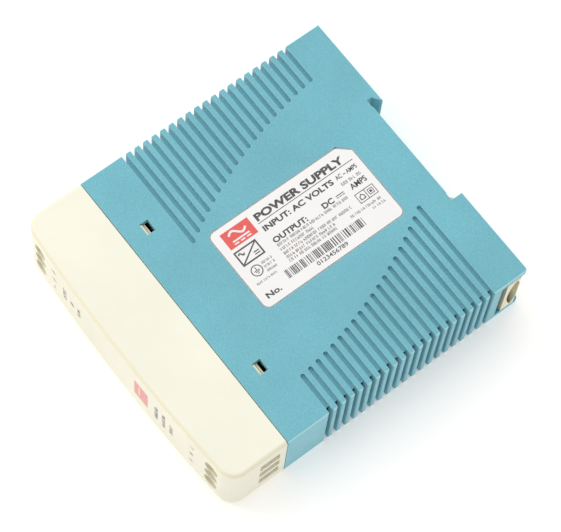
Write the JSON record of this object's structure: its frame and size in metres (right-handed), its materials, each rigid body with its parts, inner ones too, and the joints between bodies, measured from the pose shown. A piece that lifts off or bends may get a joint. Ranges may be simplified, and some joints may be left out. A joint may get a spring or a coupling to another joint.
{
  "type": "din rail power supply",
  "caption": "Slim DIN rail AC to DC power supply: teal slotted housing, bowed cream front cover, screw terminals at both ends, rating label and a spring-loaded rail latch.",
  "frame": {"origin": "centre of the side that the case lies on, which is the side opposite the rating label", "axes": "+Z out of the label side, -Y out of the front face, +X towards the lower end of the case where the rail latch is; the rail runs along Z"},
  "size_m": [0.09, 0.1, 0.0225],
  "materials": {
    "housing_plastic": "moulded teal-blue plastic, fine matt texture",
    "cover_plastic": "moulded cream plastic, fine matt texture",
    "latch_plastic": "moulded cream plastic, slightly waxy",
    "label_film": "printed white label film",
    "spring_steel": "drawn spring wire",
    "terminal_plastic": "pale grey terminal plastic",
    "contact_tin": "tin-plated brass",
    "zinc_steel": "zinc-plated steel",
    "board_laminate": "green solder mask on glass laminate",
    "clear_acrylic": "clear moulded acrylic",
    "led_package": "tinted lamp package",
    "insulating_film": "translucent polyester sheet",
    "ferrite": "dark sintered ferrite",
    "bobbin_plastic": "black phenolic",
    "winding_tape": "yellow polyester tape over copper",
    "copper_wire": "enamelled copper wire",
    "component_black": "black moulding compound",
    "fuse_brown": "brown plastic cap",
    "disc_blue": "blue epoxy dip",
    "disc_green": "green epoxy dip",
    "film_cap_yellow": "yellow moulded box",
    "can_sleeve": "dark shrink sleeve on aluminium can",
    "aluminium_plate": "rolled aluminium plate",
    "chip_ceramic": "small ceramic chips"
  },
  "bodies": {
    "case": {"housing": "housing_plastic", "front_cover": "cover_plastic", "rating_label": "label_film", "latch_spring": "spring_steel", "main_board": "board_laminate", "terminal_board": "board_laminate", "board_link_pins": "contact_tin", "insulation_sheet": "insulating_film", "led": "led_package", "light_pipe": "clear_acrylic", "terminal_block_input": "terminal_plastic", "terminal_block_output": "terminal_plastic", "input_contacts": "contact_tin", "output_contacts": "contact_tin", "transformer_core": "ferrite", "transformer_bobbin": "bobbin_plastic", "transformer_winding": "winding_tape", "choke_core": "ferrite", "choke_windings": "copper_wire", "fuse": "fuse_brown", "varistor": "disc_blue", "thermistor": "disc_green", "x_capacitor": "film_cap_yellow", "bulk_capacitor": "can_sleeve", "bridge_rectifier": "component_black", "optocoupler": "component_black", "controller_chip": "component_black", "y_capacitor": "disc_blue", "primary_heat_spreader": "aluminium_plate", "output_heat_spreader": "aluminium_plate", "switching_transistor": "component_black", "output_rectifier": "component_black", "transistor_screw": "zinc_steel", "rectifier_screw": "zinc_steel", "output_capacitor_1": "can_sleeve", "output_capacitor_2": "can_sleeve", "output_inductor_core": "ferrite", "output_inductor_winding": "copper_wire", "surface_parts": "chip_ceramic"},
    "latch": {"din_latch": "latch_plastic"},
    "output_screw_1": {"output_screw_1": "zinc_steel"},
    "output_clamp_1": {"output_clamp_1": "zinc_steel"},
    "output_screw_2": {"output_screw_2": "zinc_steel"},
    "output_clamp_2": {"output_clamp_2": "zinc_steel"},
    "output_screw_3": {"output_screw_3": "zinc_steel"},
    "output_clamp_3": {"output_clamp_3": "zinc_steel"},
    "input_screw_1": {"input_screw_1": "zinc_steel"},
    "input_clamp_1": {"input_clamp_1": "zinc_steel"},
    "input_screw_2": {"input_screw_2": "zinc_steel"},
    "input_clamp_2": {"input_clamp_2": "zinc_steel"},
    "input_screw_3": {"input_screw_3": "zinc_steel"},
    "input_clamp_3": {"input_clamp_3": "zinc_steel"}
  },
  "joints": [
    {"name": "latch_slide", "type": "slide", "parent": "case", "child": "latch", "axis": [1, 0, 0], "range_m": [0, 0.004], "stiffness_N_per_m": 400, "springref_m": -0.004, "deforming": ["latch_spring"]},
    {"name": "output_screw_1_turn", "type": "hinge", "parent": "case", "child": "output_screw_1", "pos_m": [-0.0374, -0.044, 0.00617], "axis": [0, 1, 0], "range_deg": [0, 2160]},
    {"name": "output_clamp_1_rise", "type": "slide", "parent": "case", "child": "output_clamp_1", "axis": [0, -1, 0], "range_m": [0, 0.003]},
    {"name": "output_screw_2_turn", "type": "hinge", "parent": "case", "child": "output_screw_2", "pos_m": [-0.0374, -0.044, 0.01125], "axis": [0, 1, 0], "range_deg": [0, 2160]},
    {"name": "output_clamp_2_rise", "type": "slide", "parent": "case", "child": "output_clamp_2", "axis": [0, -1, 0], "range_m": [0, 0.003]},
    {"name": "output_screw_3_turn", "type": "hinge", "parent": "case", "child": "output_screw_3", "pos_m": [-0.0374, -0.044, 0.01633], "axis": [0, 1, 0], "range_deg": [0, 2160]},
    {"name": "output_clamp_3_rise", "type": "slide", "parent": "case", "child": "output_clamp_3", "axis": [0, -1, 0], "range_m": [0, 0.003]},
    {"name": "input_screw_1_turn", "type": "hinge", "parent": "case", "child": "input_screw_1", "pos_m": [0.0374, -0.044, 0.00617], "axis": [0, 1, 0], "range_deg": [0, 2160]},
    {"name": "input_clamp_1_rise", "type": "slide", "parent": "case", "child": "input_clamp_1", "axis": [0, -1, 0], "range_m": [0, 0.003]},
    {"name": "input_screw_2_turn", "type": "hinge", "parent": "case", "child": "input_screw_2", "pos_m": [0.0374, -0.044, 0.01125], "axis": [0, 1, 0], "range_deg": [0, 2160]},
    {"name": "input_clamp_2_rise", "type": "slide", "parent": "case", "child": "input_clamp_2", "axis": [0, -1, 0], "range_m": [0, 0.003]},
    {"name": "input_screw_3_turn", "type": "hinge", "parent": "case", "child": "input_screw_3", "pos_m": [0.0374, -0.044, 0.01633], "axis": [0, 1, 0], "range_deg": [0, 2160]},
    {"name": "input_clamp_3_rise", "type": "slide", "parent": "case", "child": "input_clamp_3", "axis": [0, -1, 0], "range_m": [0, 0.003]}
  ],
  "couplings": [
    {"joint": "output_screw_1_turn", "follows": "output_clamp_1_rise", "rad_per_m": 12566},
    {"joint": "output_screw_2_turn", "follows": "output_clamp_2_rise", "rad_per_m": 12566},
    {"joint": "output_screw_3_turn", "follows": "output_clamp_3_rise", "rad_per_m": 12566},
    {"joint": "input_screw_1_turn", "follows": "input_clamp_1_rise", "rad_per_m": 12566},
    {"joint": "input_screw_2_turn", "follows": "input_clamp_2_rise", "rad_per_m": 12566},
    {"joint": "input_screw_3_turn", "follows": "input_clamp_3_rise", "rad_per_m": 12566}
  ]
}
